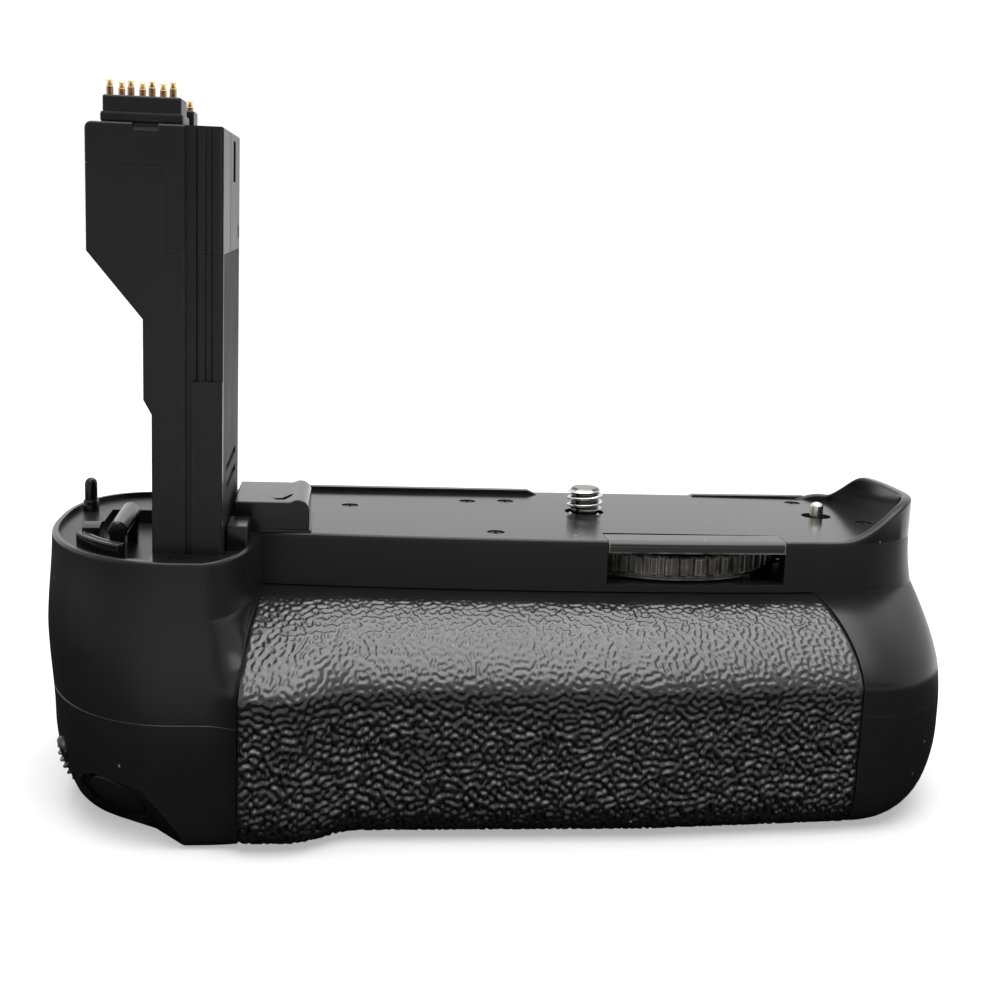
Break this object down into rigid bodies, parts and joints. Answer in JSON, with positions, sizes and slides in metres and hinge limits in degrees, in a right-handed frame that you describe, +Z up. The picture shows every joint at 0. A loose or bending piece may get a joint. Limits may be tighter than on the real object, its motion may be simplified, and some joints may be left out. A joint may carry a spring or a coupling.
{
  "type": "camera battery grip",
  "caption": "Vertical battery grip that screws under a camera, with a bay insert tower, thumb wheel, rubber hand rest, release button, dial and a slide-out battery magazine.",
  "frame": {"origin": "axis of the attachment screw, on the plane where the camera's base rests", "axes": "+Z up into the camera along the attachment screw, +X along the grip away from its control end, +Y to the grip's back"},
  "size_m": [0.152, 0.072, 0.1131],
  "materials": {
    "black_shell": "fine satin moulded",
    "satin_black": "satin",
    "button_black": "soft gloss",
    "grip_rubber": "pebbled",
    "bright_steel": "plated",
    "plain_steel": "zinc plated",
    "turned_brass": "turned",
    "gilt_contact": "gold plated",
    "circuit_board": "solder mask",
    "switch_body": "moulded",
    "battery_case": "moulded"
  },
  "bodies": {
    "root": {"upper_housing": "black_shell", "lower_housing": "black_shell", "cover_holder": "black_shell", "wheel_retainer": "black_shell", "guide_peg": "black_shell", "hinge_bar": "black_shell", "tower_body": "black_shell", "tower_head_cap": "black_shell", "tower_side_cover": "black_shell", "bay_frame": "black_shell", "shutter_ring": "black_shell", "wheel_trim": "satin_black", "contact_block": "satin_black", "step_block": "satin_black", "front_rubber": "grip_rubber", "locating_pin": "bright_steel", "cover_screws": "plain_steel", "retainer_screws": "plain_steel", "housing_screws": "plain_steel", "dial_axle": "plain_steel", "screw_bush": "turned_brass", "tripod_socket": "turned_brass", "contact_pins": "gilt_contact", "step_pins": "gilt_contact", "bay_contacts": "gilt_contact", "tower_board": "circuit_board", "main_board": "circuit_board", "control_board": "circuit_board", "rear_button_board": "circuit_board", "shutter_switch": "switch_body", "function_switch": "switch_body", "rear_switches": "switch_body", "power_switch": "switch_body"},
    "wheel": {"attachment_wheel": "satin_black"},
    "screw": {"camera_screw": "bright_steel", "screw_gear": "turned_brass", "screw_clip": "plain_steel"},
    "shutter": {"shutter_button": "button_black"},
    "dial": {"command_dial": "satin_black"},
    "function": {"function_button": "button_black"},
    "upper_key": {"upper_rear_button": "button_black"},
    "middle_key": {"middle_rear_button": "button_black"},
    "lower_key": {"lower_rear_button": "button_black"},
    "lever": {"power_lever": "black_shell"},
    "magazine": {"magazine_tray": "black_shell", "magazine_door": "black_shell", "left_battery": "battery_case", "right_battery": "battery_case", "magazine_contacts": "gilt_contact"},
    "knob": {"release_knob": "black_shell", "latch_tongue": "plain_steel"}
  },
  "joints": [
    {"name": "wheel_turn", "type": "hinge", "parent": "root", "child": "wheel", "pos_m": [0.0133, -0.00368, -0.0045], "axis": [0, 0, 1], "continuous": true},
    {"name": "screw_turn", "type": "hinge", "parent": "root", "child": "screw", "pos_m": [0, 0, 0], "axis": [0, 0, 1], "continuous": true},
    {"name": "shutter_press", "type": "slide", "parent": "root", "child": "shutter", "axis": [0.4739, 0.6311, 0.6141], "range_m": [0, 0.0012], "stiffness_N_per_m": 400},
    {"name": "dial_turn", "type": "hinge", "parent": "root", "child": "dial", "pos_m": [-0.0808, -0.022, -0.0355], "axis": [0, 1, 0], "continuous": true},
    {"name": "function_press", "type": "slide", "parent": "root", "child": "function", "axis": [0.8991, 0.2497, 0.3596], "range_m": [0, 0.0008], "stiffness_N_per_m": 400},
    {"name": "upper_key_press", "type": "slide", "parent": "root", "child": "upper_key", "axis": [0, -1, 0], "range_m": [0, 0.0008], "stiffness_N_per_m": 400},
    {"name": "middle_key_press", "type": "slide", "parent": "root", "child": "middle_key", "axis": [0, -1, 0], "range_m": [0, 0.0008], "stiffness_N_per_m": 400},
    {"name": "lower_key_press", "type": "slide", "parent": "root", "child": "lower_key", "axis": [0, -1, 0], "range_m": [0, 0.0008], "stiffness_N_per_m": 400},
    {"name": "lever_turn", "type": "hinge", "parent": "root", "child": "lever", "pos_m": [-0.0775, 0.02, -0.0362], "axis": [0, 1, 0], "range_deg": [0, 60]},
    {"name": "magazine_slide", "type": "slide", "parent": "root", "child": "magazine", "axis": [0, 1, 0], "range_m": [0, 0.06]},
    {"name": "knob_turn", "type": "hinge", "parent": "magazine", "child": "knob", "pos_m": [0.034, 0.02, -0.02575], "axis": [0, 1, 0], "range_deg": [0, 90]}
  ],
  "couplings": [
    {"joint": "screw_turn", "follows": "wheel_turn", "ratio": 4.8333}
  ]
}
